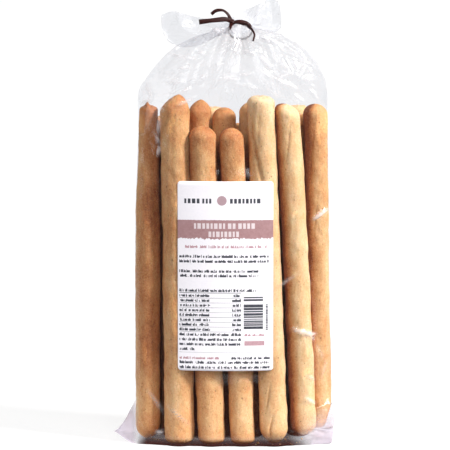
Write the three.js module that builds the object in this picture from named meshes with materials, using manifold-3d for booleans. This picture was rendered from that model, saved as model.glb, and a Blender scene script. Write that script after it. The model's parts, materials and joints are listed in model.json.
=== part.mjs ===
// A pack of grissini: a clear film bag that stands on its flat base, filled with twenty
// thin breadsticks in three rows, with a paper label on the front and a dark ribbon tie
// round the gathered neck. Millimetres, +Z up, the labelled front faces -Y, and the
// origin is in the middle of the base.
import * as THREE from "three";
import { mergeVertices } from "three/addons/utils/BufferGeometryUtils.js";
import Module from "manifold-3d";

// Driving dimensions.
const LABEL_WIDTH = 50;
const LABEL_HEIGHT = 100;
const LABEL_THICKNESS = 0.5;
const LABEL_CORNER = 2.2;
const LABEL_CENTRE = { x: -4, z: 91 };
const LABEL_BEND = { x: -2, y: -24.4, perMm: 0.0041 };

const STICK_SIDES = 14;
const STICK_RELIEF = 0.9;
const ROUND_END = 0.45;
const POINTED_END = 0.95;

const RING_POINTS = 64;
const FILM_SAG = 0.3;
const DEEPEST_SAG = 2.2;
const BASE_ROUNDING = 2.2;
const FULL_SECTION_Z = 10;
const CORNER_EDGE_RADIUS = 0.8;
const FOLDED_CORNERS = [
  { footX: -52.6, peakX: -61.8, peakZ: 6.5, topX: -50.8, topZ: 25, y: -12 },
  { footX: 50.6, peakX: 53.6, peakZ: 17, topX: 50.8, topZ: 27, y: -13 },
];
const SHOULDER_SIDES = { left: -50.3, right: 49.8 };

const SHOULDER_Z = { start: 170, top: 184 };
const SHOULDER_HALF_DEPTH = { start: 21, top: 18 };
const NECK = { x: 3.8, y: 0, z: 218.4, radius: 4.9, lean: 50, band: 1.8 };
const PLEATS = 11;
const PLEAT_DEPTH = 1.1;
const FLARE_SHEET_GAP = 2.4;
const FLARE_RUFFLE = 1.6;

const RIBBON_WIDTH = 2.1;
const RIBBON_THICKNESS = 0.6;
const TIE_LOOP = { across: 6.25, along: 6.4, knotAngle: 135 };
const FRONTWARD = new THREE.Vector3(0, -1, 0.12);
// The ribbon's loose parts: width and steps, and where they run from the knot.
const LOOSE_ENDS = [
  { width: 2.4, steps: 8, run: [[0, 0, 0], [-3, -1.4, 1.6], [-9, -2, 1.2], [-17.2, -1.2, 0.2]] },
  {
    width: 1.8,
    steps: 12,
    run: [[0, 0, 0], [-1.3, -0.8, 2.8], [-2.6, -0.8, 4.8], [-5, -0.4, 6.3], [-8.4, 0, 6], [-10.8, 0.2, 4.2]],
  },
  {
    width: 1.2,
    steps: 14,
    run: [
      [0, 0, 0],
      [3.4, -1.4, -0.3],
      [7, -3.2, -1],
      [10, -7.6, -2.9],
      [11.7, -10.2, -5.8],
      [11, -12.8, -9.1],
    ],
  },
  { width: 1.3, steps: 5, run: [[0, 0, 0.4], [-0.5, -2.5, -1.2], [-0.9, -8.2, -3.2]] },
];

// One breadstick: the middle of its foot and of its tip, its diameter, how far it bows
// sideways, and whether its tip is drawn out to a point.
const stick = (foot, tip, diameter, bow = 0, pointed = false) => ({ foot, tip, diameter, bow, pointed });
const STICKS = [
  // Front row, left to right.
  stick([-45.2, -8, 2.6], [-44.3, -9, 179.6], 12.8, -0.2),
  stick([-28.6, -13.5, 0.7], [-30.7, -13.5, 186.2], 15.4, 0.4, true),
  stick([-11.7, -14.8, 0.7], [-16.3, -16.3, 169.4], 14.7, -0.4),
  stick([4.2, -15, 0.4], [-0.6, -15.8, 168.3], 14, 0.3),
  stick([21.2, -14.5, 0.7], [14.3, -14.8, 185.4], 14.5, 0.3),
  stick([37.3, -10.5, 4.6], [28.4, -13.5, 180.6], 13.8, 0.8),
  stick([46.6, -1.5, 6.3], [43.1, -9, 180.4], 12.3, -0.2),
  // Middle row.
  stick([-44.6, 5.5, 1.5], [-43.6, 6, 172], 12),
  stick([-31.5, 1.5, 0.8], [-31.5, 1.5, 176], 13.5),
  stick([-17.5, -1, 0.8], [-17.5, -1, 182], 12.4, 0.2, true),
  stick([-4.5, 0, 0.8], [-4.7, 0, 177.7], 13),
  stick([9.7, 0, 0.8], [9.7, 0, 180.6], 12.5, -0.2),
  stick([21.5, 0.5, 0.8], [24.5, -0.5, 175], 13),
  stick([35, 4.5, 0.8], [38, 3, 174], 13),
  // Back row.
  stick([-38, 16, 0.8], [-38, 16, 172], 12.5, 0.2),
  stick([-24.5, 14, 0.8], [-24.5, 14, 175], 13, -0.2),
  stick([-10, 12.8, 0.8], [-10, 12.8, 177.3], 13, 0.3),
  stick([3, 13.5, 0.8], [3, 13.5, 168.3], 12.5, 0.2),
  stick([17, 13.5, 0.8], [17, 13.5, 174], 13, -0.3),
  stick([31.5, 15.5, 0.8], [34.7, 15.5, 178], 12.5, 0.2),
];

const lerp = (a, b, t) => a + (b - a) * t;
const clamp01 = (t) => Math.min(1, Math.max(0, t));
const unlerp = (a, b, v) => clamp01((v - a) / (b - a));

// Share of the full radius at a distance from a rounded end.
function endShare(distance, length) {
  const left = 1 - clamp01(distance / length);
  return Math.sqrt(1 - left * left);
}

// Centre and radius of a stick's round section at a height.
function stickSection(s, z) {
  const [fx, fy, fz] = s.foot;
  const [tx, ty, tz] = s.tip;
  const u = clamp01((z - fz) / (tz - fz));
  const tipLength = s.diameter * (s.pointed ? POINTED_END : ROUND_END);
  const share = endShare(z - fz, s.diameter * ROUND_END) * endShare(tz - z, tipLength);
  return {
    x: lerp(fx, tx, u) + s.bow * Math.sin(Math.PI * u),
    y: lerp(fy, ty, u),
    r: z < fz || z > tz ? 0 : (s.diameter / 2) * share,
  };
}

// A closed surface through a list of rings of equal length, capped at both ends by a fan
// from the middle of the end ring, or by a zip across it where it is a flat slit.
function loft(rings, zipEnd = false) {
  const n = rings[0].length;
  const points = rings.flat();
  const faces = [];
  for (let k = 0; k + 1 < rings.length; k++) {
    for (let i = 0; i < n; i++) {
      const a = k * n + i;
      const b = k * n + ((i + 1) % n);
      faces.push(a, b, b + n, a, b + n, a + n);
    }
  }
  const last = (rings.length - 1) * n;
  const middle = (ring) => ring.reduce((m, p) => m.addScaledVector(p, 1 / n), new THREE.Vector3());
  points.push(middle(rings[0]), middle(rings[rings.length - 1]));
  for (let i = 0; i < n; i++) {
    faces.push(points.length - 2, (i + 1) % n, i);
    if (!zipEnd) faces.push(points.length - 1, last + i, last + ((i + 1) % n));
  }
  if (zipEnd) {
    for (let i = 0; i < n / 2; i++) {
      const a = last + i;
      const b = last + i + 1;
      const c = last + ((n - i - 1) % n);
      const d = last + ((n - i) % n);
      if (b !== c) faces.push(a, b, c);
      if (a !== d) faces.push(a, c, d);
    }
  }
  const geometry = new THREE.BufferGeometry();
  geometry.setAttribute("position", new THREE.Float32BufferAttribute(points.flatMap((p) => p.toArray()), 3));
  geometry.setIndex(faces);
  return geometry;
}

// Convex outline of points in the XY plane, turning from -X through -Y to +X and back.
function convexOutline(points) {
  const sorted = [...points].sort((a, b) => a[0] - b[0] || a[1] - b[1]);
  const turn = (o, a, b) => (a[0] - o[0]) * (b[1] - o[1]) - (a[1] - o[1]) * (b[0] - o[0]);
  const half = (list) => {
    const out = [];
    for (const p of list) {
      while (out.length > 1 && turn(out.at(-2), out.at(-1), p) <= 0) out.pop();
      out.push(p);
    }
    return out;
  };
  return { front: half(sorted), back: half(sorted.reverse()) };
}

// Points at equal steps along a line, from its first point up to but not including its last.
function evenly(line, count) {
  const along = [0];
  for (let i = 1; i < line.length; i++) {
    along.push(along[i - 1] + Math.hypot(line[i][0] - line[i - 1][0], line[i][1] - line[i - 1][1]));
  }
  const total = along.at(-1);
  return Array.from({ length: count }, (_, k) => {
    const at = (total * k) / count;
    const i = Math.max(1, along.findIndex((d) => d >= at));
    const t = (at - along[i - 1]) / Math.max(along[i] - along[i - 1], 1e-9);
    return [lerp(line[i - 1][0], line[i][0], t), lerp(line[i - 1][1], line[i][1], t)];
  });
}

// How far the film's folded bottom corner reaches out at a height.
function cornerReach(corner, z) {
  if (z < corner.peakZ) return lerp(corner.footX, corner.peakX, z / corner.peakZ);
  return lerp(corner.peakX, corner.topX, Math.pow(unlerp(corner.peakZ, corner.topZ, z), 0.67));
}

// The film's level section round the sticks at a height: the stretched outline of the
// sticks, the folded bottom corners and the flattened shoulder, let in between the sticks.
function filmSection(z) {
  const sampleZ = Math.max(z, FULL_SECTION_Z);
  const discs = STICKS.map((s) => stickSection(s, sampleZ)).filter((d) => d.r > 1);
  const inset = BASE_ROUNDING * (1 - endShare(z, BASE_ROUNDING * 2));
  const outline = [];
  const addCircle = (x, y, r) => {
    for (let k = 0; k < 20; k++) {
      const a = (2 * Math.PI * k) / 20;
      outline.push([x + r * Math.cos(a), y + r * Math.sin(a)]);
    }
  };
  discs.forEach((d) => addCircle(d.x, d.y, Math.max(0.2, d.r - STICK_RELIEF - inset)));
  for (const corner of FOLDED_CORNERS) {
    if (z < corner.topZ) addCircle(cornerReach(corner, z), corner.y, CORNER_EDGE_RADIUS);
  }
  if (z > SHOULDER_Z.start) {
    const { left, right } = SHOULDER_SIDES;
    const risen = unlerp(SHOULDER_Z.start, SHOULDER_Z.top, z);
    const depth = lerp(SHOULDER_HALF_DEPTH.start, SHOULDER_HALF_DEPTH.top, risen);
    for (let k = 0; k < 48; k++) {
      const a = (2 * Math.PI * k) / 48;
      const c = Math.sign(Math.cos(a)) * Math.pow(Math.abs(Math.cos(a)), 0.7);
      const s = Math.sign(Math.sin(a)) * Math.pow(Math.abs(Math.sin(a)), 0.7);
      outline.push([(left + right) / 2 + (c * (right - left)) / 2, s * depth]);
    }
  }
  const { front, back } = convexOutline(outline);
  const ring = [...evenly(front, RING_POINTS / 2), ...evenly(back, RING_POINTS / 2)];
  const held = z > SHOULDER_Z.start + 4 ? [] : discs;
  return ring.map(([x, y]) => {
    const gaps = held.map((d) => Math.hypot(x - d.x, y - d.y) - d.r + STICK_RELIEF);
    const sag = Math.min(DEEPEST_SAG, FILM_SAG * Math.max(0, Math.min(Infinity, ...gaps)));
    const inward = z < 27 || held.length === 0 ? 0 : sag;
    return new THREE.Vector3(x, y - Math.sign(y) * inward, z);
  });
}

// Folds that run down from the neck: how far a ring's point moves out, by its place.
function pleat(i) {
  const turn = (2 * Math.PI * i) / RING_POINTS;
  return Math.sin(PLEATS * turn + 1.3 * Math.sin(3 * turn));
}

function withPleats(ring, depth) {
  const centre = ring.reduce((m, p) => m.addScaledVector(p, 1 / ring.length), new THREE.Vector3());
  return ring.map((p, i) => {
    const out = p.clone().sub(centre).setZ(0);
    out.x *= 0.25;
    return p.clone().addScaledVector(out.normalize(), depth * pleat(i));
  });
}

// The neck leans back, so its rings are tilted. Each starts at -X and turns through the front.
const lean = THREE.MathUtils.degToRad(NECK.lean);
const neckAxis = new THREE.Vector3(0, Math.sin(lean), Math.cos(lean));
const neckFront = new THREE.Vector3(0, -Math.cos(lean), Math.sin(lean));
const neckCentre = new THREE.Vector3(NECK.x, NECK.y, NECK.z);

function neckRing(offset) {
  return Array.from({ length: RING_POINTS }, (_, i) => {
    const a = Math.PI - (2 * Math.PI * i) / RING_POINTS;
    const r = NECK.radius + 0.35 * pleat(i);
    return neckCentre
      .clone()
      .addScaledVector(neckAxis, offset)
      .addScaledVector(new THREE.Vector3(1, 0, 0), r * Math.cos(a))
      .addScaledVector(neckFront, r * Math.sin(a));
  });
}

// The open end of the bag above the tie. Its edge runs from the left corner over the
// front to the right corner, and its side folds droop before they rise to the corners.
const MOUTH_EDGE = new THREE.CatmullRomCurve3(
  [
    [-38, 225.8],
    [-31.3, 227.9],
    [-21.2, 225.2],
    [-10, 223.8],
    [-1.6, 224.8],
    [5.8, 228],
    [14, 231.9],
    [20.2, 234.6],
    [24.2, 232.6],
  ].map(([x, z]) => new THREE.Vector3(x, 0, z)),
);
const LEFT_DROOP = { x: -1.4, z: -14.6 };
const RIGHT_DROOP = { x: 6.2, z: -9 };
const MOUTH_Y = 6;

function flareRing(from, t) {
  const half = RING_POINTS / 2;
  return from.map((start, i) => {
    const inFront = i <= half;
    const across = inFront ? i / half : (RING_POINTS - i) / half;
    const end = MOUTH_EDGE.getPointAt(across);
    const p = start.clone().lerp(end, t);
    const leftWeight = Math.pow(clamp01(1 - across / 0.45), 1.5);
    const rightWeight = Math.pow(clamp01(1 - (1 - across) / 0.4), 1.5);
    const leftBump = (t * Math.pow(1 - t, 0.45)) / 0.407;
    const rightBump = Math.sin(Math.PI * Math.pow(t, 1.2));
    p.x += LEFT_DROOP.x * leftBump * leftWeight + RIGHT_DROOP.x * rightBump * rightWeight;
    p.z += LEFT_DROOP.z * leftBump * leftWeight + RIGHT_DROOP.z * rightBump * rightWeight;
    const ruffle = FLARE_RUFFLE * t * Math.sin(9 * Math.PI * across + 0.6);
    const apart = Math.min(1, 4 * across, 4 * (1 - across)) * FLARE_SHEET_GAP * (inFront ? -0.5 : 0.5);
    p.y = lerp(start.y, MOUTH_Y + apart, t) + ruffle;
    return p;
  });
}

// Rings from the last level one over the gathered shoulder to the neck. The left shoulder
// slopes at once and the right one stays up for longer, and the back comes in from below
// the tie.
function shoulderRing(below, neck, t) {
  return below.map((p, i) => {
    const q = neck[i];
    const rightness = unlerp(SHOULDER_SIDES.left, SHOULDER_SIDES.right, p.x);
    const backness = THREE.MathUtils.smoothstep(p.y, 0, SHOULDER_HALF_DEPTH.top);
    const rise = new THREE.Vector3(p.x + 1.3 * (1 - rightness), 0.95 * p.y, p.z + lerp(6, 17, rightness));
    const drawn = new THREE.Vector3(
      lerp(p.x, q.x, lerp(0.37, 0.53, rightness)),
      lerp(p.y, q.y, 0.5),
      q.z + lerp(lerp(2.6, 4.3, rightness), -8, backness),
    );
    return new THREE.CubicBezierCurve3(p, rise, drawn, q).getPoint(t);
  });
}

function filmBody() {
  const foot = [0, 1, 2.6, 4.5, 6.5, 9.5, 13, 17, 21, 27];
  const sides = [45, 70, 95, 120, 142, 156, 163, 168, 172, 176, 180];
  const rings = [...foot, ...sides, SHOULDER_Z.top].map(filmSection);
  const shoulder = rings.at(-1);
  const neckBelow = neckRing(-NECK.band);
  for (const t of [0.09, 0.18, 0.28, 0.38, 0.48, 0.58, 0.68, 0.78, 0.86, 0.93]) {
    const depth = PLEAT_DEPTH * Math.sin(Math.PI * t) * t;
    rings.push(withPleats(shoulderRing(shoulder, neckBelow, t), depth));
  }
  const neckAbove = neckRing(NECK.band);
  rings.push(neckBelow, neckAbove);
  for (const t of [0.12, 0.26, 0.42, 0.58, 0.74, 0.88, 1]) rings.push(flareRing(neckAbove, t));
  return loft(rings, true);
}

function stickBody(s) {
  const [, , fz] = s.foot;
  const [, , tz] = s.tip;
  const tipLength = s.diameter * (s.pointed ? POINTED_END : ROUND_END);
  const footLength = s.diameter * ROUND_END;
  const levels = [0.02, 0.12, 0.35, 0.7, 1].map((t) => fz + t * footLength);
  for (let k = 1; k < 6; k++) levels.push(lerp(fz + footLength, tz - tipLength, k / 6));
  for (const t of [1, 0.7, 0.35, 0.12, 0.02]) levels.push(tz - t * tipLength);
  const rings = levels.map((z) => {
    const { x, y, r } = stickSection(s, z);
    return Array.from({ length: STICK_SIDES }, (_, i) => {
      const a = Math.PI + (2 * Math.PI * i) / STICK_SIDES;
      return new THREE.Vector3(x + r * Math.cos(a), y + r * Math.sin(a), z);
    });
  });
  return loft(rings);
}

// A flat ribbon along a path, with its width held along a chosen direction, or else with
// its flat side to the front.
function ribbon(path, widthDirection, steps, width = RIBBON_WIDTH) {
  const curve = new THREE.CatmullRomCurve3(path);
  const rings = Array.from({ length: steps + 1 }, (_, k) => {
    const at = curve.getPointAt(k / steps);
    const tangent = curve.getTangentAt(k / steps);
    const direction = widthDirection ?? tangent.clone().cross(FRONTWARD);
    const across = direction.clone().projectOnPlane(tangent).normalize();
    const normal = tangent.clone().cross(across).normalize();
    return [
      [-0.5, -0.5],
      [0.5, -0.5],
      [0.5, 0.5],
      [-0.5, 0.5],
    ].map(([a, b]) => {
      const sideways = at.clone().addScaledVector(across, a * width);
      return sideways.addScaledVector(normal, b * RIBBON_THICKNESS);
    });
  });
  return loft(rings);
}

// Points of the tie's loop round the neck. Angle 0 is +X and 90 degrees is the front.
function loopPoint(degrees) {
  const a = THREE.MathUtils.degToRad(degrees);
  return neckCentre
    .clone()
    .addScaledVector(new THREE.Vector3(1, 0, 0), TIE_LOOP.across * Math.cos(a))
    .addScaledVector(neckFront, TIE_LOOP.along * Math.sin(a));
}

const wasm = await Module();
wasm.setup();

// A closed geometry as a solid that can be joined and cut, and back again.
function toSolid(geometry) {
  const plain = geometry.clone();
  plain.deleteAttribute("normal");
  plain.deleteAttribute("uv");
  const merged = mergeVertices(plain, 1e-4);
  const made = new wasm.Manifold(
    new wasm.Mesh({
      numProp: 3,
      vertProperties: new Float32Array(merged.attributes.position.array),
      triVerts: new Uint32Array(merged.index.array),
    }),
  );
  return made;
}

function toGeometry(solid) {
  const mesh = solid.getMesh();
  const geometry = new THREE.BufferGeometry();
  geometry.setAttribute("position", new THREE.BufferAttribute(new Float32Array(mesh.vertProperties), 3));
  geometry.setIndex(new THREE.BufferAttribute(new Uint32Array(mesh.triVerts), 1));
  geometry.computeVertexNormals();
  return geometry;
}

const joined = (geometries) => geometries.map(toSolid).reduce((a, b) => a.add(b));

// The bag and all that shows through it, as one solid.
function bagGeometry() {
  return toGeometry(joined([filmBody(), ...STICKS.map(stickBody)]));
}

// The label: a strip bent round the front, cut to a rectangle with rounded corners.
function labelGeometry() {
  const front = (x) => LABEL_BEND.y + LABEL_BEND.perMm * (x - LABEL_BEND.x) ** 2;
  const steps = 14;
  const place = (_, k) => LABEL_CENTRE.x + LABEL_WIDTH * (k / steps - 0.5) * 1.02;
  const xs = Array.from({ length: steps + 1 }, place);
  const section = new THREE.Shape([
    ...xs.map((x) => new THREE.Vector2(x, front(x) - LABEL_THICKNESS)),
    ...xs.reverse().map((x) => new THREE.Vector2(x, front(x))),
  ]);
  const strip = new THREE.ExtrudeGeometry(section, { depth: LABEL_HEIGHT * 1.02, bevelEnabled: false });
  strip.translate(0, 0, LABEL_CENTRE.z - LABEL_HEIGHT * 0.51);
  const w = LABEL_WIDTH / 2;
  const h = LABEL_HEIGHT / 2;
  const c = LABEL_CORNER;
  const outline = new THREE.Shape();
  outline.moveTo(-w + c, -h);
  outline.lineTo(w - c, -h);
  outline.absarc(w - c, -h + c, c, -Math.PI / 2, 0);
  outline.lineTo(w, h - c);
  outline.absarc(w - c, h - c, c, 0, Math.PI / 2);
  outline.lineTo(-w + c, h);
  outline.absarc(-w + c, h - c, c, Math.PI / 2, Math.PI);
  outline.lineTo(-w, -h + c);
  outline.absarc(-w + c, -h + c, c, Math.PI, Math.PI * 1.5);
  const cutter = new THREE.ExtrudeGeometry(outline, { depth: 30, bevelEnabled: false, curveSegments: 4 });
  cutter.rotateX(Math.PI / 2);
  cutter.translate(LABEL_CENTRE.x, -10, LABEL_CENTRE.z);
  return toGeometry(toSolid(strip).intersect(toSolid(cutter)));
}

// The tie: a loop round the neck, a knot at its upper left, and the ribbon's loose parts.
function tieGeometry() {
  const loop = Array.from({ length: 17 }, (_, k) => loopPoint(TIE_LOOP.knotAngle + 4 + 22 * k));
  const knotAt = loopPoint(TIE_LOOP.knotAngle).addScaledVector(neckFront, 1.2);
  const knot = new THREE.SphereGeometry(1.9, 12, 8);
  knot.scale(1, 0.75, 0.9);
  knot.translate(knotAt.x, knotAt.y, knotAt.z);
  const ends = LOOSE_ENDS.map(({ width, steps, run }) => {
    const path = run.map(([x, y, z]) => new THREE.Vector3(x, y, z).add(knotAt));
    return ribbon(path, null, steps, width);
  });
  return toGeometry(joined([ribbon(loop, neckAxis, 28), knot, ...ends]));
}

const bagMaterial = new THREE.MeshStandardMaterial({ color: 0xdcae80, roughness: 0.5, metalness: 0 });
const labelMaterial = new THREE.MeshStandardMaterial({ color: 0xede9f0, roughness: 0.7, metalness: 0 });
const tieMaterial = new THREE.MeshStandardMaterial({ color: 0x2e1413, roughness: 0.45, metalness: 0 });

function named(name, geometry, material) {
  const mesh = new THREE.Mesh(geometry, material);
  mesh.name = name;
  return mesh;
}

const pack = new THREE.Group();
pack.add(
  named("bag", bagGeometry(), bagMaterial),
  named("label", labelGeometry(), labelMaterial),
  named("tie", tieGeometry(), tieMaterial),
);

export default pack;
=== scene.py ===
"""A pack of grissini: twenty breadsticks in a clear film bag with a label and a ribbon tie.

Lengths in this file are millimetres until a mesh is made; X is right, Y is back, Z is up.
"""

import json
import math
import random

import bpy
import numpy as np
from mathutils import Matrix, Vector, noise

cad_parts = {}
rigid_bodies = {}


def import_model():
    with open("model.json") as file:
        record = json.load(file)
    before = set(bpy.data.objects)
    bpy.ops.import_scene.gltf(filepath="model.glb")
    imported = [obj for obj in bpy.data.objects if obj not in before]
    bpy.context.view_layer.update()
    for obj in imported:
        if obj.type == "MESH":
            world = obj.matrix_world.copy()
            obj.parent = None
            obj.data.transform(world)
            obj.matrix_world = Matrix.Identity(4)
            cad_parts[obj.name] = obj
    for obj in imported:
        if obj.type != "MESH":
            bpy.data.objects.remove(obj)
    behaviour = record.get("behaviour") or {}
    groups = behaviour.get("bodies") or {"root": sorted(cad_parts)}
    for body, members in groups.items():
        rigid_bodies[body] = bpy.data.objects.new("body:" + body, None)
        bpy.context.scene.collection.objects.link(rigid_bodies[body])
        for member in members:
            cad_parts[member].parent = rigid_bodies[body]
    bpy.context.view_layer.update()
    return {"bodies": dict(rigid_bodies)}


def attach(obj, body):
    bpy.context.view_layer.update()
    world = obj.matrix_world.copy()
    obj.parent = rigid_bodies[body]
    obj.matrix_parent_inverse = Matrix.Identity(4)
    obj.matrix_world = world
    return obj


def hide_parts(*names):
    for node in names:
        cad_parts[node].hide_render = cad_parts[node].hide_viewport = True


MM = 0.001

# The label.
LABEL_WIDTH = 50.0
LABEL_HEIGHT = 100.0
LABEL_CORNER = 1.7
LABEL_CENTRE_X = -4.0
LABEL_CENTRE_Z = 91.0
LABEL_BEND_X = -2.0
LABEL_BEND_Y = -24.4
LABEL_BEND = 0.0041
LABEL_PAPER = 0.12
LABEL_STANDS_OFF = 0.12
DOT_U, DOT_V, DOT_RADIUS = -1.9, 39.9, 2.6

# The ends of a breadstick: length as a share of the diameter, and how square the end is,
# from 1, a cone, past 2, a dome.
END_SHAPES = {
    "round": (0.45, 2.0),
    "pointed": (0.58, 1.5),
    "headed": (0.55, 1.55),
    "sloped": (0.42, 2.2),
    "blunt": (0.34, 2.4),
    "spiked": (0.2, 2.6),
    "flat": (0.26, 2.4),
    "crumbly": (0.24, 2.5),
    "split": (0.55, 1.8),
    "nosed": (0.6, 2.0),
    "tapered": (0.3, 2.0),
}
# The breadsticks: middle of the foot and of the tip, diameter, sideways bow, and the shape
# of the tip and the foot.
FRONT_ROW = [
    ((-45.2, -8, 2.6), (-44.3, -9, 179.6), 12.8, -0.2, "spiked", "nosed"),
    ((-28.4, -13.5, 0.3), (-30.7, -13.5, 185.7), 15.4, 0.4, "pointed", "crumbly"),
    ((-11.2, -14.8, 0.4), (-16.3, -16.3, 169.4), 14.7, -0.4, "round", "flat"),
    ((4.9, -15, 0.3), (-1.1, -15.8, 168.3), 13.6, 0.3, "round", "flat"),
    ((21.8, -14.5, 0.7), (14.2, -14.8, 185.4), 14.8, 0.3, "blunt", "split"),
    ((37.5, -10.5, 4.6), (28, -13.5, 180.6), 13.6, 0.5, "sloped", "round"),
    ((46.6, -1.5, 6.3), (43.1, -9, 180.4), 12.3, -0.2, "round", "tapered"),
]
PLAIN = ("round", "flat")
MIDDLE_ROW = [
    ((-44.6, 5.5, 1.5), (-43.6, 6, 172), 12, 0, *PLAIN),
    ((-31.5, 1.5, 0.8), (-31.5, 1.5, 176), 13.5, 0, *PLAIN),
    ((-17.5, -1, 0.8), (-17.5, -1, 182), 12.4, 0.2, "headed", "flat"),
    ((-4.5, 0, 0.8), (-4.7, 0, 177.7), 13, 0, *PLAIN),
    ((9.7, 0, 0.8), (9.7, 0, 180.6), 12.5, -0.2, *PLAIN),
    ((21.5, 0.5, 0.8), (24.5, -0.5, 175), 13, 0, *PLAIN),
    ((35, 4.5, 0.8), (38, 3, 174), 13, 0, *PLAIN),
]
BACK_ROW = [
    ((-38, 16, 0.8), (-38, 16, 172), 12.5, 0.2, *PLAIN),
    ((-24.5, 14, 0.8), (-24.5, 14, 175), 13, -0.2, *PLAIN),
    ((-10, 12.8, 0.8), (-10, 12.8, 177.3), 13, 0.3, "blunt", "flat"),
    ((3, 13.5, 0.8), (3, 13.5, 168.3), 12.5, 0.2, *PLAIN),
    ((17, 13.5, 0.8), (17, 13.5, 174), 13, -0.3, *PLAIN),
    ((31.5, 15.5, 0.8), (34.7, 15.5, 178), 12.5, 0.2, "blunt", "flat"),
]
STICKS = FRONT_ROW + MIDDLE_ROW + BACK_ROW
# Points round a stick and rings along its body, for the front row and for the others.
FRONT_DETAIL = (92, 170)
REAR_DETAIL = (48, 90)
STICK_END_RINGS = 12
# How narrow a spiked stick is towards its tip.
SPIKED_SHARE = 0.76

# The film.
FILM_POINTS = 288
SHOULDER_RINGS = 60
FLARE_RINGS = 34
FILM_CLEARANCE = 0.35
FILM_SAG = 0.3
# The film stays clear of the sticks' rounded tips for a while.
TIP_SLACK = 4.0
DEEPEST_SAG = 2.2
BASE_ROUNDING = 2.2
FULL_SECTION_Z = 10.0
CORNER_EDGE_RADIUS = 0.8
# Folded bottom corners: X at the foot, at the peak and at the top, and their heights.
FOLDED_CORNERS = [
    {"foot_x": -52.6, "peak_x": -61.8, "peak_z": 6.5, "top_x": -50.8, "top_z": 25.0, "y": -12.0},
    {"foot_x": 50.6, "peak_x": 53.6, "peak_z": 17.0, "top_x": 50.8, "top_z": 27.0, "y": -13.0},
]
SHOULDER_LEFT = -50.3
SHOULDER_RIGHT = 49.8
SHOULDER_START_Z = 170.0
SHOULDER_TOP_Z = 184.0
SHOULDER_START_DEPTH = 21.0
SHOULDER_TOP_DEPTH = 18.0
SHOULDER_POINTS = 64
# 1 is an ellipse; a lower number makes its corners squarer.
SHOULDER_SQUARENESS = 0.7
# From the left shoulder to the right one: how far the film first rises, how far above the neck
# it then aims, and what share of the way across it has come by then. At the back it aims low.
SHOULDER_RISE = (6, 17)
SHOULDER_AIM = (2.6, 4.3)
SHOULDER_ACROSS = (0.37, 0.53)
BACK_AIM = -8
NECK_CENTRE = np.array([3.8, 0.0, 218.4])
NECK_RADIUS = 4.9
NECK_LEAN = math.radians(50)
NECK_BAND = 1.8
PLEATS = 11
SHOULDER_PLEAT = 1.7
MOUTH_EDGE = [
    (-38, 225.8), (-31.3, 227.9), (-21.2, 225.2),
    (-10, 223.8), (-1.6, 224.8), (5.8, 228),
    (14, 231.9), (20.2, 234.6), (24.2, 232.6),
]
MOUTH_Y = 6.0
# Its two ends droop: how far in X and in Z at most, and over what share of the way across.
LEFT_DROOP = (-1.4, -14.6)
LEFT_DROOP_REACH = 0.45
RIGHT_DROOP = (6.2, -9.0)
RIGHT_DROOP_REACH = 0.4
FLARE_WAVES = 4.5
FLARE_SHEET_GAP = 2.4
FLARE_RUFFLE = 1.6
FLARE_PLEAT = 0.9

# The tie.
TIE_ACROSS = 6.25
TIE_ALONG = 6.4
TIE_KNOT_ANGLE = 135
RIBBON_THICKNESS = 0.5
KNOT_STEPS = 18
KNOT_RADIUS = 1.15
KNOT_LENGTH = 1.4

# Lamps: place in metres, size, power and colour.
LAMPS = {
    "key": ((0.96, -0.5, 0.93), 0.26, 33, (1, 0.985, 0.96)),
    "front": ((0.35, -1.1, 0.95), 0.8, 5.5, (1, 1, 1)),
    "left": ((-1.25, -0.4, 0.55), 1.0, 5.5, (1, 1, 1)),
}
# Small bright lamps that only the film's folds mirror; they add next to nothing elsewhere.
GLINT_LIGHTS = [(-0.5, -0.75, 1.0), (0.05, -0.6, 1.3), (0.3, -1.1, 0.9)]
GLINT_SIZE = 0.16
GLINT_POWER = 1.4
# The lamps' places are metres, as is the point that they look at.
LAMP_TARGET = Vector((0, 0, 0.11))

# The camera: the photograph's frame shows 238.5 mm across, from 7 degrees above.
FRAME_WIDTH_MM = 238.5
CAMERA_TARGET = (-4.24, 0.0, 115.2)
CAMERA_ELEVATION = math.radians(7)
CAMERA_DISTANCE_MM = 1600.0
SENSOR_WIDTH = 36


def lerp(a, b, t):
    return a + (b - a) * t


def unlerp(a, b, v):
    return min(1.0, max(0.0, (v - a) / (b - a)))


def smooth(a, b, v):
    t = unlerp(a, b, v)
    return t * t * (3 - 2 * t)


def near(reach, distance):
    """1 at a place, eased down to 0 at a reach from it."""
    return 1 - smooth(0, reach, distance)


def ripple(x, y, z):
    return noise.noise(Vector((x, y, z)))


def turned(a, across, up):
    return math.cos(a) * across + math.sin(a) * up


def srgb(r, g, b):
    """A colour given in 0 to 255 as the eye sees it, as the linear colour that nodes take."""
    channels = [c / 255 for c in (r, g, b)]
    return (*[c / 12.92 if c <= 0.04045 else ((c + 0.055) / 1.055) ** 2.4 for c in channels], 1.0)


# Meshes.


def placed(name, data):
    obj = bpy.data.objects.new(name, data)
    bpy.context.scene.collection.objects.link(obj)
    return obj


def make_object(name, points_mm, faces, material):
    mesh = bpy.data.meshes.new(name)
    mesh.from_pydata([tuple(c * MM for c in p) for p in points_mm], [], faces)
    mesh.materials.append(material)
    mesh.polygons.foreach_set("use_smooth", [True] * len(mesh.polygons))
    mesh.update()
    return placed(name, mesh)


def set_vertex_values(obj, name, values):
    layer = obj.data.attributes.new(name, "FLOAT", "POINT")
    layer.data.foreach_set("value", values)


def ring_faces(count, around, first=0):
    """Quads between successive rings of points."""
    faces = []
    for k in range(count - 1):
        for i in range(around):
            j = (i + 1) % around
            a = first + k * around
            faces.append((a + i, a + j, a + around + j, a + around + i))
    return faces


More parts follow.
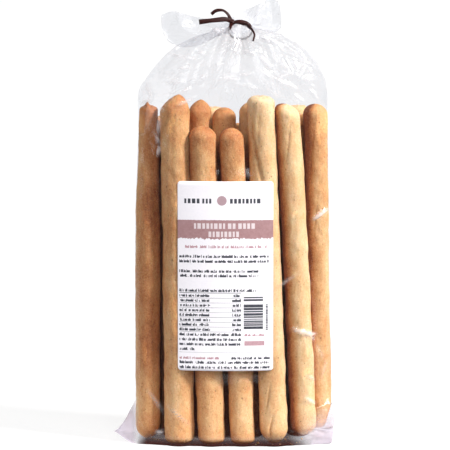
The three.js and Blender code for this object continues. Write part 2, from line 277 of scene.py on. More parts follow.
def tube_faces(count, around, first=0):
    """Quads between successive rings of points, and a face over each end."""
    last = first + (count - 1) * around
    ends = [tuple(range(first, first + around))[::-1], tuple(range(last, last + around))]
    return ring_faces(count, around, first) + ends


# The breadsticks.


def end_share(distance, length, power=2.0):
    left = 1 - unlerp(0, length, distance)
    return max(0.0, 1 - left**power) ** (1 / power)


def stick_axis(stick, z):
    foot, tip, _, bow, _, _ = stick
    u = unlerp(foot[2], tip[2], z)
    return lerp(foot[0], tip[0], u) + bow * math.sin(math.pi * u), lerp(foot[1], tip[1], u)


def end_sizes(stick):
    """Length and squareness of the tip, then of the foot."""
    (tip_share, tip_power), (foot_share, foot_power) = [END_SHAPES[name] for name in stick[4:]]
    return stick[2] * tip_share, tip_power, stick[2] * foot_share, foot_power


def stick_radius(stick, z):
    foot, tip, diameter = stick[:3]
    if not foot[2] <= z <= tip[2]:
        return 0.0
    tip_length, tip_power, foot_length, foot_power = end_sizes(stick)
    radius = diameter / 2 * end_share(z - foot[2], foot_length, foot_power)
    radius *= end_share(tip[2] - z, tip_length, tip_power)
    if stick[4] == "spiked":
        radius *= lerp(SPIKED_SHARE, 1, smooth(0, 75, tip[2] - z))
    return radius


def stick_levels(stick, body_rings):
    """Heights of a stick's rings, close together at its ends."""
    foot, tip = stick[:2]
    tip_length, _, foot_length, _ = end_sizes(stick)
    steps = [math.sin(math.pi / 2 * (k + 0.35) / STICK_END_RINGS) for k in range(STICK_END_RINGS)]
    rises = [1 - math.sqrt(1 - s * s) for s in steps]
    near_foot = [foot[2] + foot_length * rise for rise in rises]
    near_tip = [tip[2] - tip_length * rise for rise in rises]
    low, high = foot[2] + foot_length, tip[2] - tip_length
    body = [lerp(low, high, k / body_rings) for k in range(body_rings + 1)]
    return near_foot + body + near_tip[::-1]


# The crust's grain leans: cosine and sine of its slope, roughly.
GRAIN_UPRIGHT = 0.9
GRAIN_LEAN = 0.43


def crust_relief(point, seed):
    """Lumps and dents of a baked crust, outwards, in millimetres."""
    x, y, z = point
    slow = ripple(x / 16 + seed, y / 16, z / 30)
    lumps = ripple(x / 6, y / 6 + seed, z / 9)
    slant = GRAIN_UPRIGHT * x + GRAIN_LEAN * z
    along = GRAIN_UPRIGHT * z - GRAIN_LEAN * x
    wrinkle = ripple(slant / 3.2, y / 4, along / 6.5 + seed)
    fine = ripple(slant / 1.5, y / 1.9, along / 2.6 - seed)
    dent = max(0.0, ripple(x / 3.4, y / 3.4, z / 5.2 + seed) - 0.25)
    return 0.3 * slow + 0.38 * lumps + 0.18 * wrinkle + 0.06 * fine - 0.45 * dent


# Seams and splits: stick, height from and to, angle from and to (270 is the front), depth
# and half-width.
CREASES = [
    (4, 160, 182, 216, 240, 0.55, 0.15),
    (4, 134, 174, 268, 216, 0.9, 0.15),
    (4, 156, 178, 252, 262, 0.3, 0.12),
    (4, 15, 34, 233, 266, 0.7, 0.06),
    (4, 1, 17, 247, 268, 0.9, 0.07),
    (5, 148, 172, 250, 280, 0.3, 0.08),
    (6, 140, 172, 236, 262, 0.35, 0.09),
    (6, 108, 134, 250, 276, 0.3, 0.09),
    (2, 2, 22, 285, 296, 0.3, 0.12),
    (1, 120, 182, 250, 262, 0.25, 0.2),
    (10, 140, 176, 300, 250, 0.35, 0.2),
]


def crease_depth(stick_index, angle, z):
    """How deep a stick's seams and splits are at a point, in millimetres."""
    depth = 0.0
    for owner, z_low, z_high, angle_low, angle_high, most, width in CREASES:
        if owner != stick_index or not z_low < z < z_high:
            continue
        t = (z - z_low) / (z_high - z_low)
        wander = 0.12 * ripple(z / 7, owner, 0)
        off = angle - math.radians(lerp(angle_low, angle_high, t)) - wander
        off = (off + math.pi) % math.tau - math.pi
        depth += most * math.sin(math.pi * t) ** 0.5 * math.exp(-((off / width) ** 2))
    return depth


# Details of the ends: how far a tip leans right, how narrow a headed one is below its head and
# how far down, how narrow a tapered foot is, how rough a broken foot is, how steep a slope is,
# and how high a spike is.
TIP_LEANS = {"pointed": 2.3, "headed": 0.6}
HEAD_WAIST = 0.2
HEAD_LENGTH = 14
TAPERED_SHARE = 0.62
TAPERED_SHIFT = 1.2
BROKEN_OUT = 0.7
BROKEN_UP = 0.9
TIP_SLOPE = 0.24
SPIKE_HEIGHT = 2.2


def stick_point(stick, index, z, angle):
    cx, cy = stick_axis(stick, z)
    foot, tip, diameter, _, tip_shape, foot_shape = stick
    radius = stick_radius(stick, z)
    from_tip = tip[2] - z
    from_foot = z - foot[2]
    cx += TIP_LEANS.get(tip_shape, 0) * (1 - unlerp(0, diameter * 0.8, from_tip)) ** 2
    if tip_shape == "headed":
        radius *= 1 - HEAD_WAIST * math.exp(-(((from_tip - HEAD_LENGTH) / 5) ** 2))
    if foot_shape == "tapered":
        radius *= lerp(TAPERED_SHARE, 1, smooth(0, 16, from_foot))
        cx -= TAPERED_SHIFT * near(14, from_foot)
    oval = 1 + 0.03 * math.cos(2 * angle + index)
    x = cx + radius * oval * math.cos(angle)
    y = cy + radius / oval * math.sin(angle)
    relief = crust_relief((x, y, z), 7.3 * index)
    body = unlerp(0, diameter / 2, radius)
    out = relief * (0.35 + 0.65 * body) - crease_depth(index, angle, z)
    lift = 0.0
    if foot_shape in ("crumbly", "split"):
        rough = near(5, from_foot) * ripple(x / 1.6, y / 1.6, z / 1.6)
        out += BROKEN_OUT * rough
        lift = BROKEN_UP * abs(rough)
    if tip_shape in ("blunt", "spiked"):
        lift -= 0.8 * (1 - body) * (0.6 + 0.4 * ripple(x / 3, y / 3, index))
        lift += 0.5 * near(3, from_tip) * ripple(x / 1.3, y / 1.3, index)
    if tip_shape == "sloped":
        lift -= TIP_SLOPE * (x - cx) * near(9, from_tip)
    if tip_shape == "spiked":
        lift += SPIKE_HEIGHT * near(2, from_tip) * math.exp(-(((x - cx + 0.8) / 1.1) ** 2))
    scale = out / max(radius, 1.0)
    return x + (x - cx) * scale, y + (y - cy) * scale, z + lift


# How well baked each stick is, in the order of the rows above. The first stick's tone is also deepened
# as painted shade, for the shadow that its neighbour casts on it.
TONES = [0.75, 0.53, 0.56, 0.56, 0.2, 0.24, 0.44] + [0.35, 0.4, 0.6, 0.55, 0.4, 0.4, 0.5]
TONES += [0.4, 0.5, 0.4, 0.4, 0.35, 0.36]
# Painted shade on a stick's left flank, the side away from the key lamp: how much darker than the rest
# it is made. The first stick's is negative, so its right side, painted as in its neighbour's shadow,
# stays the darker one.
PAINTED_FLANK_SHADE = {0: -0.3, 2: 0.25, 3: 0.25, 4: 0.25, 5: 1.2, 6: 1.15}
PAINTED_FLANK_FALL = 1.8
# How much browner than the rest a stick's foot is.
FOOT_TONES = {0: -0.16, 1: -0.1, 2: -0.18, 3: -0.16, 4: 0.12}
# The middle row is darkened below its tips: painted shade for the gaps between the front sticks, which
# are all it shows through.
MIDDLE_ROW_PAINTED_SHADE = range(len(FRONT_ROW), len(FRONT_ROW) + len(MIDDLE_ROW))


def stick_tone(stick, index, point, angle):
    """How dark the crust is coloured at a point, from 0, pale, to 1, dark: its baking, plus painted
    shade on some flanks, in creases and on the middle row.
    """
    x, y, z = point
    foot, tip = stick[:2]
    tone = TONES[index]
    tone += 0.16 * ripple(x / 9 + index, y / 9, z / 24)
    open_foot = stick[5] in ("crumbly", "split")
    tone += 0.1 * near(14, tip[2] - z) * (-1.6 if stick[4] in ("blunt", "sloped") else 1)
    tone += 0.12 * (1 - smooth(2, 16, z - foot[2]))
    tone -= 0.3 * near(3, z - foot[2]) * open_foot
    # Painted shade on the flank turned away from the key lamp.
    tone += PAINTED_FLANK_SHADE.get(index, 0) * max(0, -math.cos(angle)) ** PAINTED_FLANK_FALL
    tone += FOOT_TONES.get(index, 0) * (1 - smooth(12, 62, z))
    # Painted shade in the gaps: the middle row is darkened below its tips.
    if index in MIDDLE_ROW_PAINTED_SHADE:
        tone += 0.5 * (1 - smooth(140, 166, z))
    # Seams and splits are darkened in colour too: painted shade in the creases.
    tone += 0.2 * min(1, crease_depth(index, angle, z))
    return tone


def build_stick(index, stick, material):
    around, body_rings = FRONT_DETAIL if index < len(FRONT_ROW) else REAR_DETAIL
    levels = stick_levels(stick, body_rings)
    points, tones = [], []

    def add(point, angle):
        points.append(point)
        tones.append(stick_tone(stick, index, point, angle))

    for z in levels:
        for i in range(around):
            angle = math.tau * i / around
            add(stick_point(stick, index, z, angle), angle)
    faces = ring_faces(len(levels), around)
    last = (len(levels) - 1) * around
    for first, z, flip in ((0, stick[0][2], True), (last, stick[1][2], False)):
        centre = len(points)
        ring = [np.array(points[first + i]) for i in range(around)]
        middle = sum(ring) / around
        add((middle[0], middle[1], lerp(middle[2], z, 0.4)), 0.0)
        fan = [(centre, first + i, first + (i + 1) % around) for i in range(around)]
        faces += [(a, c, b) for a, b, c in fan] if flip else fan
    obj = make_object(f"breadstick_{index + 1:02d}", points, faces, material)
    set_vertex_values(obj, "tone", tones)
    return obj


# The film.


def convex_halves(points):
    """The convex outline as two lines from the leftmost point: along the front, and back."""
    ordered = sorted(points)

    def half(sequence):
        out = []
        for p in sequence:
            while len(out) > 1 and turn(out[-2], out[-1], p) <= 0:
                out.pop()
            out.append(p)
        return out

    return half(ordered), half(ordered[::-1])


def turn(o, a, b):
    return (a[0] - o[0]) * (b[1] - o[1]) - (a[1] - o[1]) * (b[0] - o[0])


def sampled(line, shares):
    """Points of a line at shares of its length."""
    steps = np.linalg.norm(np.diff(line, axis=0), axis=1)
    along = np.concatenate([[0], np.cumsum(steps)])
    return np.stack([np.interp(along[-1] * shares, along, column) for column in line.T], 1)


def corner_reach(corner, z):
    """X of a folded corner's edge at a height."""
    if z < corner["peak_z"]:
        return lerp(corner["foot_x"], corner["peak_x"], z / corner["peak_z"])
    fallen = unlerp(corner["peak_z"], corner["top_z"], z) ** 0.67
    return lerp(corner["peak_x"], corner["top_x"], fallen)


def circle(x, y, r, count=24):
    angles = [math.tau * k / count for k in range(count)]
    return [(x + r * math.cos(a), y + r * math.sin(a)) for a in angles]


def shoulder_outline(z):
    depth = lerp(SHOULDER_START_DEPTH, SHOULDER_TOP_DEPTH, unlerp(SHOULDER_START_Z, SHOULDER_TOP_Z, z))
    middle, half = (SHOULDER_LEFT + SHOULDER_RIGHT) / 2, (SHOULDER_RIGHT - SHOULDER_LEFT) / 2
    out = []
    for x, y in circle(0, 0, 1, SHOULDER_POINTS):
        x, y = [math.copysign(abs(c) ** SHOULDER_SQUARENESS, c) for c in (x, y)]
        out.append((middle + half * x, depth * y))
    return out


def stick_discs(z, slack=0.0):
    """The sticks' middles and radii at a height; their tips are carried up by the slack."""
    discs = []
    for s in STICKS:
        radius = max(stick_radius(s, z - rise) for rise in (0, slack / 2, slack))
        if radius > 1:
            discs.append((*stick_axis(s, z), radius))
    return discs


def keep_outside(x, y, discs):
    """A point moved out of any stick that it lies in, with the film's clearance."""
    for cx, cy, r in discs:
        d = math.hypot(x - cx, y - cy)
        if d < r + FILM_CLEARANCE:
            grow = (r + FILM_CLEARANCE) / max(d, 0.1)
            x, y = cx + (x - cx) * grow, cy + (y - cy) * grow
    return x, y


def label_back(x):
    return LABEL_BEND_Y + LABEL_BEND * (x - LABEL_BEND_X) ** 2


def pulled_to_label(x, y, z):
    """The film lies flat against the back of the label, and eases off round it."""
    beyond_x = abs(x - LABEL_CENTRE_X) - LABEL_WIDTH / 2
    beyond_z = abs(z - LABEL_CENTRE_Z) - LABEL_HEIGHT / 2
    beyond = math.hypot(max(0, beyond_x), max(0, beyond_z))
    held = near(9, beyond)
    return y if y > 0 else lerp(y, min(y, label_back(x) + 0.05), held)


def film_level(z):
    """A ring of the film round the sticks at a height."""
    discs = stick_discs(max(z, FULL_SECTION_Z), TIP_SLACK if z > 100 else 0)
    inset = BASE_ROUNDING * (1 - end_share(z, BASE_ROUNDING * 2))
    outline = []
    for x, y, r in discs:
        outline += circle(x, y, max(0.2, r + FILM_CLEARANCE - inset))
    for corner in FOLDED_CORNERS:
        if z < corner["top_z"]:
            risen = unlerp(corner["peak_z"], corner["top_z"], z)
            edge_y = corner["y"] + 5 * risen
            outline += circle(corner_reach(corner, z), edge_y, CORNER_EDGE_RADIUS * (1.1 - risen))
    if z > SHOULDER_START_Z:
        outline += shoulder_outline(z)
    front, back = convex_halves(outline)
    half = FILM_POINTS // 2
    ring = []
    # The film sags between the sticks, but less near its bottom and its shoulders.
    held = smooth(12, 40, z) * (1 - smooth(150, 172, z))
    shares = np.arange(half) / half
    for x, y in np.concatenate([sampled(np.array(side), shares) for side in (front, back)]):
        gap = min(math.hypot(x - cx, y - cy) - r for cx, cy, r in discs)
        y -= math.copysign(held * min(DEEPEST_SAG, FILM_SAG * max(0, gap)), y)
        ring.append((x, y, z))
    return np.array(ring)


def pleat(i):
    turn_share = math.tau * i / FILM_POINTS
    main = math.sin(PLEATS * turn_share + 1.3 * math.sin(3 * turn_share))
    fine = math.sin(29 * turn_share + 2.1 * math.sin(5 * turn_share + 1))
    return 0.75 * main + 0.4 * fine


def with_pleats(ring, depth):
    centre = ring.mean(axis=0)
    out = ring.copy()
    for i, p in enumerate(ring):
        away = (p - centre) * np.array([0.25, 1, 0])
        out[i] = p + away / np.linalg.norm(away) * depth * pleat(i)
    return out


NECK_AXIS = np.array([0, math.sin(NECK_LEAN), math.cos(NECK_LEAN)])
NECK_FRONT = np.array([0, -math.cos(NECK_LEAN), math.sin(NECK_LEAN)])
RIGHT = np.array([1.0, 0, 0])
FRONTWARD = np.array([0, -1.0, 0.12])


def neck_ring(offset):
    ring = []
    for i in range(FILM_POINTS):
        a = math.pi - math.tau * i / FILM_POINTS
        r = NECK_RADIUS + 0.35 * pleat(i)
        ring.append(NECK_CENTRE + offset * NECK_AXIS + r * turned(a, RIGHT, NECK_FRONT))
    return np.array(ring)


def shoulder_ring(below, neck, t):
    """The left shoulder slopes at once, the right one stays up, the back stays low."""
    out = []
    for p, q in zip(below, neck):
        rightness = unlerp(SHOULDER_LEFT, SHOULDER_RIGHT, p[0])
        backness = smooth(0, SHOULDER_TOP_DEPTH, p[1])
        risen_z = p[2] + lerp(*SHOULDER_RISE, rightness)
        rise = np.array([p[0] + 1.3 * (1 - rightness), 0.95 * p[1], risen_z])
        aim_z = q[2] + lerp(lerp(*SHOULDER_AIM, rightness), BACK_AIM, backness)
        aim_x = lerp(p[0], q[0], lerp(*SHOULDER_ACROSS, rightness))
        drawn = np.array([aim_x, (p[1] + q[1]) / 2, aim_z])
        s = 1 - t
        out.append(s**3 * p + 3 * s * s * t * rise + 3 * s * t * t * drawn + t**3 * q)
    return np.array(out)


CATMULL_ROM = np.array([(0, 2, 0, 0), (-1, 0, 1, 0), (2, -5, 4, -1), (-1, 3, -3, 1)]) / 2


def smooth_line(points, samples=200):
    """A Catmull-Rom line through the points, sampled evenly along its length."""
    p = np.array(points, float)
    p = np.vstack([2 * p[0] - p[1], p, 2 * p[-1] - p[-2]])
    out = []
    for k in range(len(p) - 3):
        for t in np.linspace(0, 1, 40, endpoint=False):
            out.append(t ** np.arange(4) @ CATMULL_ROM @ p[k : k + 4])
    return sampled(np.array([*out, p[-2]]), np.linspace(0, 1, samples))


MOUTH_LINE = smooth_line(MOUTH_EDGE)


def flare_ring(start_ring, t):
    """A ring of the mouth's two ruffled sheets, at a share of the way from neck to edge."""
    half = FILM_POINTS // 2
    out = []
    for i, start in enumerate(start_ring):
        in_front = i <= half
        across = i / half if in_front else (FILM_POINTS - i) / half
        at = across * (len(MOUTH_LINE) - 1)
        low = min(int(at), len(MOUTH_LINE) - 2)
        end = lerp(MOUTH_LINE[low], MOUTH_LINE[low + 1], at - low)
        left = max(0, 1 - across / LEFT_DROOP_REACH) ** 1.5
        right = max(0, 1 - (1 - across) / RIGHT_DROOP_REACH) ** 1.5
        # The left end droops most at two thirds of the way, where this comes to 1.
        left_bump = t * (1 - t) ** 0.45 / 0.407
        right_bump = math.sin(math.pi * t**1.2)
        x, z = [
            lerp(a, b, t) + left_most * left_bump * left + right_most * right_bump * right
            for a, b, left_most, right_most in zip(start[::2], end, LEFT_DROOP, RIGHT_DROOP)
        ]
        ruffle = FLARE_RUFFLE * t * math.sin(math.tau * FLARE_WAVES * across + 0.6)
        ruffle += FLARE_PLEAT * pleat(i) * math.sin(math.pi * t**0.6)
        apart = min(1, 4 * across, 4 * (1 - across)) * FLARE_SHEET_GAP * (-0.5 if in_front else 0.5)
        z += 0.35 * (i // 2 % 2) * (t == 1)
        out.append((x, lerp(start[1], MOUTH_Y + apart, t) + ruffle, z))
    return np.array(out)


BASE_LEVELS = [0.1, 0.4, 0.9, 1.6, 2.6, 3.8, 5.2]
LEVELS_FROM, LEVELS_TO, LEVEL_STEP = 6.5, 181, 1.1
EASED_FROM_Z = 150
EASING_PASSES = 24


def film_rings():
    levels = BASE_LEVELS + list(np.arange(LEVELS_FROM, LEVELS_TO, LEVEL_STEP))
    rings = [film_level(z) for z in [*levels, SHOULDER_TOP_Z]]
    shoulder = rings[-1]
    neck_below, neck_above = neck_ring(-NECK_BAND), neck_ring(NECK_BAND)
    for t in np.linspace(0, 1, SHOULDER_RINGS + 1)[1:-1]:
        depth = SHOULDER_PLEAT * math.sin(math.pi * t) * t
        rings.append(with_pleats(shoulder_ring(shoulder, neck_below, t), depth))
    rings += [neck_below, neck_ring(-0.6), neck_ring(0.6), neck_above]
    for t in np.linspace(0, 1, FLARE_RINGS + 1)[1:]:
        rings.append(flare_ring(neck_above, t))
    return eased(np.array(rings), levels)


def eased(rings, levels):
    """The film runs smoothly from the sticks' tips into the shoulders."""
    first = next(k for k, z in enumerate(levels) if z > EASED_FROM_Z)
    last = len(levels) + SHOULDER_RINGS // 3
    for _ in range(EASING_PASSES):
        middle = rings[first:last]
        rings[first:last] = (rings[first - 1 : last - 1] + 2 * middle + rings[first + 1 : last + 1]) / 4
    return rings


def crest(point, width):
    """Long sharp folds: 1 along a crest, falling to 0 at a share of the way to the next."""
    return max(0.0, 1 - abs(noise.noise(Vector(point))) / width)


# Folds that catch the light, along which the film is also whitened as painted highlights: X and Z of
# the middle, length, slope in degrees and height.
FOLDS = [
    (-20.6, 221.5, 12, -47, 1.3), (-10, 219.5, 11, -33, 1.2), (-26.5, 205, 19, -5, 1),
    (-25.8, 199.5, 7, 20, 0.9), (-16.5, 207.5, 7, -25, 1), (-16, 194.5, 6, 52, 0.9),
    (-30.5, 192, 11, 8, 0.9), (18, 214, 16, -21, 1.3), (17.5, 215.5, 10, 24, 1),
    (16.8, 203, 11, -43, 1.5), (7.5, 208, 7, -18, 1), (33.5, 195.5, 5, -45, 1.2),
    (36.5, 198, 7, 66, 0.9), (39.5, 193.5, 8, -6, 0.9), (26.5, 195.5, 9, 18, 0.9),
    (6.5, 196.5, 9, 7, 0.9), (-1, 194, 14, -4, 0.8), (6, 190.5, 16, -12, 0.7),
    (25, 192.5, 22, -28, 0.7), (-44.9, 181.7, 8, 21, 1.2), (-24.5, 182.4, 13, 22, 1.2),
    (-43.6, 187, 11, -66, 1), (-25, 188, 6, 33, 1), (-36.6, 178, 4, -30, 1),
    (-38.7, 169.5, 13, 86, 1.35), (-39.4, 162.5, 8, -74, 1.1), (-38.6, 156.5, 7, 80, 1.4),
    (45.6, 122.5, 12, 36, 1.9), (28, 88, 20, 31, 0.8), (37.3, 60.5, 16, -16, 1.9),
    (45.5, 50, 12, -62, 0.7), (48, 40, 14, 74, 0.7), (41, 57.5, 7, -50, 1.1),
    (41, 36, 7, -40, 1), (40.5, 24, 9, -34, 1.3), (-41, 24, 20, -52, 0.9),
    (-29, 17, 22, -40, 0.9), (-38.5, 7.5, 6, 12, 1.2), (50.5, 9.5, 8, 50, 1),
    (44, 6, 10, -14, 1), (38.5, 3.6, 9, 12, 0.9),
]
FOLD_HALF_WIDTH = 1.9
FOLD_REACH = 12
# Fold height at which the painted highlight is full white.
FULL_GLINT_HEIGHT = 1.35


def placed_folds(x, z):
    """Height of the folds at a point of the front."""
    height = 0.0
    for fold_x, fold_z, length, slope, most in FOLDS:
        dx, dz = x - fold_x, z - fold_z
        if max(abs(dx), abs(dz)) > FOLD_REACH:
            continue
        c, s = math.cos(math.radians(slope)), math.sin(math.radians(slope))
        along = abs(dx * c + dz * s) / (length / 2)
        across = abs(dz * c - dx * s) / FOLD_HALF_WIDTH
        if along < 1 and across < 1:
            height = max(height, most * math.cos(math.pi / 2 * across) ** 2 * (1 - along**2))
    return height


def film_move(p):
    """How far the film stands off its plain surface at a point, in millimetres.

    Above the breadsticks the folds run out from the neck; lower down they are few and soft.
    """
    x, y, z = p
    side = 40 * (1 if y < NECK_CENTRE[1] else -1)
    dx, dz = x - NECK_CENTRE[0], z - NECK_CENTRE[2]
    far = math.hypot(dx, dz)
    round_neck = 4.5 * math.atan2(dz, dx)
    radial = crest((round_neck, far / 38, side), 0.16) ** 1.5
    fine = crest((2.6 * round_neck, far / 22, side + 9), 0.3)
    across = crest((x / 24, z / 11, side + 20), 0.14) ** 1.5
    soft = ripple(x / 15, y / 15, z / 19)
    gathered = smooth(60, 12, far)
    high = smooth(172, 188, z)
    low = 1 - smooth(4, 26, z)
    upper = 0.42 * radial + 0.16 * gathered * fine + 0.14 * across + 0.35 * soft
    upright = crest((x / 7, z / 70, side + 31), 0.2)
    foot = crest((x / 12, z / 9, side + 50), 0.22) + 0.6 * crest((x / 5, z / 6, side + 61), 0.3)
    body = 0.18 * upright + 0.2 * ripple(x / 9, y / 9, z / 16)
    return lerp(body + 0.55 * low * foot, upper, high) + (placed_folds(x, z) if y < 0 else 0)


def painted_glint_share(p):
    """Share of the way to white along the placed folds: a painted highlight standing for the glints
    those folds catch.
    """
    height = placed_folds(p[0], p[2]) if p[1] < 0 else 0.0
    return min(1.0, height / FULL_GLINT_HEIGHT) ** 2


def film_normals(rings):
    around = np.roll(rings, -1, axis=1) - np.roll(rings, 1, axis=1)
    up = np.gradient(rings, axis=0)
    normals = np.cross(around, up)
    return normals / np.maximum(np.linalg.norm(normals, axis=2, keepdims=True), 1e-9)


def build_film(material):
    rings = film_rings()
    level_count = int((rings[:, :, 2].std(axis=1) < 1e-6).sum())
    normals = film_normals(rings)
    total = len(rings)
    neck_at = total - FLARE_RINGS - 2
    points, painted_glints = [], []
    for k, ring in enumerate(rings):
        strength = smooth(1, 7, abs(k - neck_at))
        discs = stick_discs(max(ring[0, 2], FULL_SECTION_Z)) if k < level_count else []
        for i, p in enumerate(ring):
            q = p + normals[k, i] * strength * film_move(p)
            if k < level_count:
                x, y = keep_outside(q[0], q[1], discs)
                q = np.array([x, pulled_to_label(x, y, p[2]), p[2]])
            points.append(q)
            # Painted highlight share along the placed folds.
            painted_glints.append(painted_glint_share(p))
    faces = ring_faces(total, FILM_POINTS)
    centre = len(points)
    points.append(np.array([0, 0, 0.1]))
    painted_glints.append(0.0)
    for i in range(FILM_POINTS):
        faces.append((centre, (i + 1) % FILM_POINTS, i))
    obj = make_object("film_bag", points, faces, material)
    set_vertex_values(obj, "painted_glint", painted_glints)
    return obj


# The label.


DARK, PINK, PALE = 1, 2, 3
PRINT_PITCH = 0.36
TABLE_TOP = -10.1
TABLE_PITCH = 2.56
TABLE_ROWS = 8
# Rows of word-like marks that spell nothing: left, right and middle heights, from the middle
# of the label, then height of the marks and ink. The higher ones are rows of plain blocks.
TEXT_ROWS = [
    (-21.5, -6, [39.7], 2.5, DARK),
    (2.2, 20.3, [39.7], 2.5, DARK),
    (-16.5, 16.5, [26.6], 2.9, PALE),
    (-9, 8.8, [22.3], 2.9, PALE),
    (-21.5, 21.5, [15.7], 1.5, PINK),
    (-24, 22.6, [10.6, 8], 1.5, DARK),
    (-24, 17, [2.8, 0.4], 1.5, DARK),
    (-24, 16, [-7.4], 1.5, DARK),
    (10, 21, [-31], 1.2, PINK),
    (-24, 8.2, [-30.7, -33.3, -35.8], 1.5, DARK),
    (-24, -16, [-38.4], 1.5, DARK),
    (-24, -3, [-43.2], 1.3, PINK),
    (3, 23.2, [-43.2], 1.4, DARK),
    (-24, 23.2, [-45.5, -48.1], 1.5, DARK),
]
# Filled areas: left, right, low, high and ink.
LINES = [
    (-24.2, 8.2, -8.85, -8.55, DARK),
    (-24, 23, -40.3, -40.2, DARK),
    (10, 20.5, -36.6, -34.2, PINK),
]
STRIPE_AREAS = [(9.4, 19.8, -13.0, -10.2), (9.4, 19.8, -27.8, -14.5)]
MARK_COLUMN = (21.1, 22.3, -28.5, -14.5)
MARK_SHARES = (-0.5, -0.3, -0.2, 0.22, 0.5)
BLOCK_HEIGHT = 1.9
SMALL_PRINT = 1.5
WORD_COLUMNS = (6, 20)
INKED_SHARE = 0.88
RULE_HALF_HEIGHT = 0.07


def table_rows():
    rows = []
    for k in range(TABLE_ROWS):
        v = TABLE_TOP - TABLE_PITCH * k
        rows += [(-24.0, -8.0, v, SMALL_PRINT, DARK), (3.4, 8.1, v, SMALL_PRINT, DARK)]
    return rows


def table_rules():
    lows = [TABLE_TOP - TABLE_PITCH * (k + 0.5) for k in range(TABLE_ROWS)]
    return [(-24.2, 8.2, v - RULE_HALF_HEIGHT, v + RULE_HALF_HEIGHT, DARK) for v in lows]


def stripes(area, rng, thin, thick):
    """A column of level bars of random thickness."""
    left, right, low, high = area
    bars = []
    v = low
    while v < high:
        bar = rng.uniform(thin, thick)
        bars.append((left, right, v, min(high, v + bar), DARK))
        v += bar + 0.4 * rng.uniform(thin, thick)
    return bars


def word_marks(rng, columns, left, right):
    """Which part of the row's height each column inks, from share to share, or None."""
    shapes = [(-0.5, 0.22)] * 6 + [(-0.5, 0.5)] * 3 + [(-0.5, -0.3), (-0.2, 0.22)]
    marks = [None] * len(columns)
    k = next(i for i, u in enumerate(columns) if u >= left)
    while k < len(columns) and columns[k] < right:
        for _ in range(rng.randint(*WORD_COLUMNS)):
            if k < len(columns) and columns[k] < right and rng.random() < INKED_SHARE:
                marks[k] = rng.choice(shapes)
            k += 1
        k += 2
    return marks


def block_marks(rng, columns, left, right):
    """Plain blocks, two columns apart, with wider gaps now and then."""
    marks = [None] * len(columns)
    k = next(i for i, u in enumerate(columns) if u >= left)
    while k + 5 < len(columns) and columns[k + 5] < right:
        wide = rng.choice((3, 4, 5))
        marks[k : k + wide] = [(-0.5, 0.5)] * wide
        k += wide + (4 if rng.random() < 0.1 else 2)
    return marks


def label_columns():
    """Positions across the label, close together at the corners."""
    edge = LABEL_WIDTH / 2
    flat = edge - LABEL_CORNER
    inner = np.linspace(-flat, flat, round(2 * flat / PRINT_PITCH) + 1)
    turn_in = flat + LABEL_CORNER * np.sin(np.linspace(0, math.pi / 2, 7)[1:])
    return [*(-turn_in[::-1]), *inner, *turn_in]


def label_levels(rows, areas):
    """Heights of the label's grid: every edge of the print, and more where that leaves gaps."""
    half = LABEL_HEIGHT / 2
    edges = [-half, half]
    for _, _, v, height, _ in rows:
        edges += [v + share * height for share in MARK_SHARES]
    for _, _, low, high, _ in areas:
        edges += [low, high]
    levels = [-half]
    for edge in sorted(edges):
        while edge - levels[-1] > 2.0:
            levels.append(levels[-1] + 1.2)
        if edge - levels[-1] > 0.04:
            levels.append(edge)
    return levels


def print_inks(columns):
    """The levels of the label's grid and the ink of each of its cells, by column and row."""
    rng = random.Random(5)
    rows = [(left, right, v, height, ink) for left, right, at, height, ink in TEXT_ROWS for v in at]
    rows += table_rows()
    areas = LINES + table_rules() + stripes(MARK_COLUMN, rng, 0.35, 0.8)
    for area in STRIPE_AREAS:
        areas += stripes(area, rng, 0.5, 1.5)
    levels = label_levels(rows, areas)
    u, v = [np.array([(a + b) / 2 for a, b in zip(at, at[1:])]) for at in (columns, levels)]
    inks = np.zeros((len(u), len(v)), int)
    for left, right, middle, height, ink in rows:
        make_marks = block_marks if height > BLOCK_HEIGHT else word_marks
        share = (v - middle) / height
        for c, mark in enumerate(make_marks(rng, u, left, right)):
            if mark:
                inks[c, (mark[0] < share) & (share < mark[1])] = ink
    for left, right, low, high, ink in areas:
        inks[np.ix_((left < u) & (u < right), (low < v) & (v < high))] = ink
    return levels, inks


def label_point(u, v):
    """A point of the label's back; the height is drawn in where the corners are round."""
    past = max(0, abs(u) - (LABEL_WIDTH / 2 - LABEL_CORNER))
    cut = LABEL_CORNER - math.sqrt(max(0, LABEL_CORNER**2 - past**2))
    v *= 1 - 2 * cut / LABEL_HEIGHT
    x, z = LABEL_CENTRE_X + u, LABEL_CENTRE_Z + v
    wave = 0.1 * ripple(u / 14, v / 20, 3)
    return x, label_back(x) - LABEL_STANDS_OFF + wave, z


def build_label(materials):
    columns = label_columns()
    levels, inks = print_inks(columns)
    points = [label_point(u, v) for u in columns for v in levels]
    one_side = len(points)
    points += [(x, y - LABEL_PAPER, z) for x, y, z in points]
    high = len(levels)
    faces, slots = [], []
    for c in range(len(columns) - 1):
        for k in range(high - 1):
            a = c * high + k
            quad = (a, a + high, a + high + 1, a + 1)
            faces += [quad[::-1], tuple(v + one_side for v in quad)]
            slots += [0, int(inks[c, k])]
    grid = np.arange(one_side).reshape(len(columns), high)
    rim = np.concatenate([grid[:, 0], grid[-1, 1:], grid[-2::-1, -1], grid[0, -2:0:-1]]).tolist()
    for a, b in zip(rim, rim[1:] + rim[:1]):
        faces.append((a, b, b + one_side, a + one_side))
        slots.append(0)
    obj = make_object("label_sheet", points, faces, materials[0])
    for material in materials[1:]:
        obj.data.materials.append(material)
    obj.data.polygons.foreach_set("material_index", slots)
    return obj


# The tie.


def loop_point(degrees):
    return NECK_CENTRE + turned(math.radians(degrees), TIE_ACROSS * RIGHT, TIE_ALONG * NECK_FRONT)


RIBBON_SECTION = [(-1, -0.5), (-0.9, -1), (0, -0.8), (0.9, -1), (1, -0.5)]
RIBBON_SECTION += [(-u, -v) for u, v in RIBBON_SECTION]


